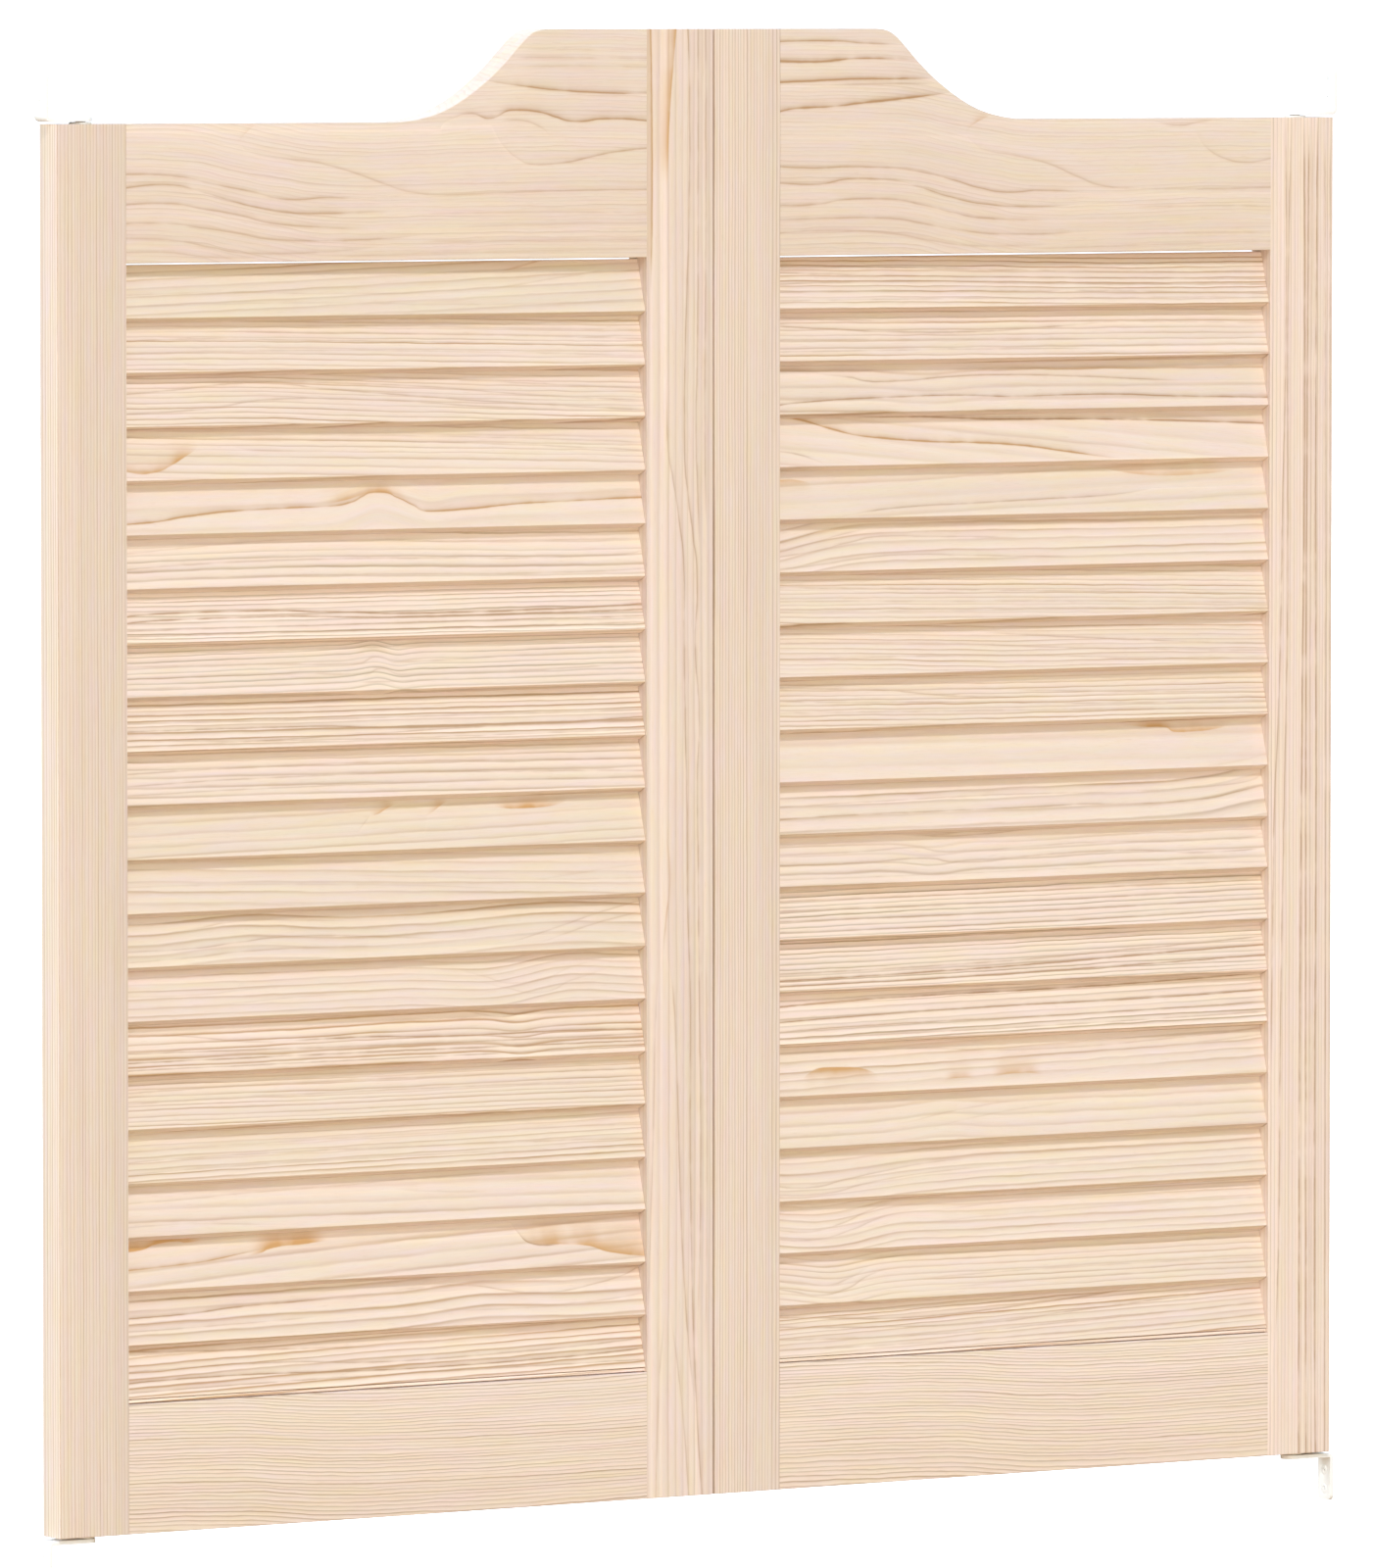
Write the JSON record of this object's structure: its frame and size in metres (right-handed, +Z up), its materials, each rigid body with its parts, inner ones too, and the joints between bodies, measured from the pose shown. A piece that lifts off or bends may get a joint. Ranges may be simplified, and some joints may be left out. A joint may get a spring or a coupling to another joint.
{
  "type": "cafe swing doors",
  "caption": "Louvred pine batwing doors with a swept top edge, hung on jamb brackets with pivot pins; each leaf swings both ways and springs back to closed.",
  "frame": {"origin": "middle of the opening, at the middle of the leaves' thickness, level with the lower ends of the lower brackets", "axes": "+X along the opening towards the right jamb, +Y through the leaves from the front to the rear, +Z up"},
  "size_m": [0.934, 0.021, 0.9315],
  "materials": {
    "pine_stile": "unfinished planed pine, straight grain along the stile",
    "pine_rail": "unfinished planed pine with arched grain and pale knots",
    "pine_louvre": "unfinished planed pine, grain along the louvre",
    "bracket_paint": "off-white powder coat on bent steel, bare steel pin",
    "bush_polymer": "natural white acetal",
    "spring_steel": "oiled spring wire"
  },
  "bodies": {
    "jamb_brackets": {"left_upper_bracket": "bracket_paint", "left_lower_bracket": "bracket_paint", "right_upper_bracket": "bracket_paint", "right_lower_bracket": "bracket_paint"},
    "leaf_left": {"left_outer_stile": "pine_stile", "left_meeting_stile": "pine_stile", "left_top_rail": "pine_rail", "left_bottom_rail": "pine_rail", "left_louvre_01": "pine_louvre", "left_louvre_02": "pine_louvre", "left_louvre_03": "pine_louvre", "left_louvre_04": "pine_louvre", "left_louvre_05": "pine_louvre", "left_louvre_06": "pine_louvre", "left_louvre_07": "pine_louvre", "left_louvre_08": "pine_louvre", "left_louvre_09": "pine_louvre", "left_louvre_10": "pine_louvre", "left_louvre_11": "pine_louvre", "left_louvre_12": "pine_louvre", "left_louvre_13": "pine_louvre", "left_louvre_14": "pine_louvre", "left_louvre_15": "pine_louvre", "left_louvre_16": "pine_louvre", "left_louvre_17": "pine_louvre", "left_louvre_18": "pine_louvre", "left_louvre_19": "pine_louvre", "left_louvre_20": "pine_louvre", "left_louvre_21": "pine_louvre", "left_upper_bush": "bush_polymer", "left_lower_bush": "bush_polymer", "left_closing_spring": "spring_steel"},
    "leaf_right": {"right_outer_stile": "pine_stile", "right_meeting_stile": "pine_stile", "right_top_rail": "pine_rail", "right_bottom_rail": "pine_rail", "right_louvre_01": "pine_louvre", "right_louvre_02": "pine_louvre", "right_louvre_03": "pine_louvre", "right_louvre_04": "pine_louvre", "right_louvre_05": "pine_louvre", "right_louvre_06": "pine_louvre", "right_louvre_07": "pine_louvre", "right_louvre_08": "pine_louvre", "right_louvre_09": "pine_louvre", "right_louvre_10": "pine_louvre", "right_louvre_11": "pine_louvre", "right_louvre_12": "pine_louvre", "right_louvre_13": "pine_louvre", "right_louvre_14": "pine_louvre", "right_louvre_15": "pine_louvre", "right_louvre_16": "pine_louvre", "right_louvre_17": "pine_louvre", "right_louvre_18": "pine_louvre", "right_louvre_19": "pine_louvre", "right_louvre_20": "pine_louvre", "right_louvre_21": "pine_louvre", "right_upper_bush": "bush_polymer", "right_lower_bush": "bush_polymer", "right_closing_spring": "spring_steel"}
  },
  "joints": [
    {"name": "left_swing", "type": "hinge", "parent": "jamb_brackets", "child": "leaf_left", "pos_m": [-0.4392, 0, 0.0315], "axis": [0, 0, 1], "range_deg": [-90, 90], "stiffness_Nm_per_rad": 2.5},
    {"name": "right_swing", "type": "hinge", "parent": "jamb_brackets", "child": "leaf_right", "pos_m": [0.4392, 0, 0.0315], "axis": [0, 0, -1], "range_deg": [-90, 90], "stiffness_Nm_per_rad": 2.5}
  ]
}
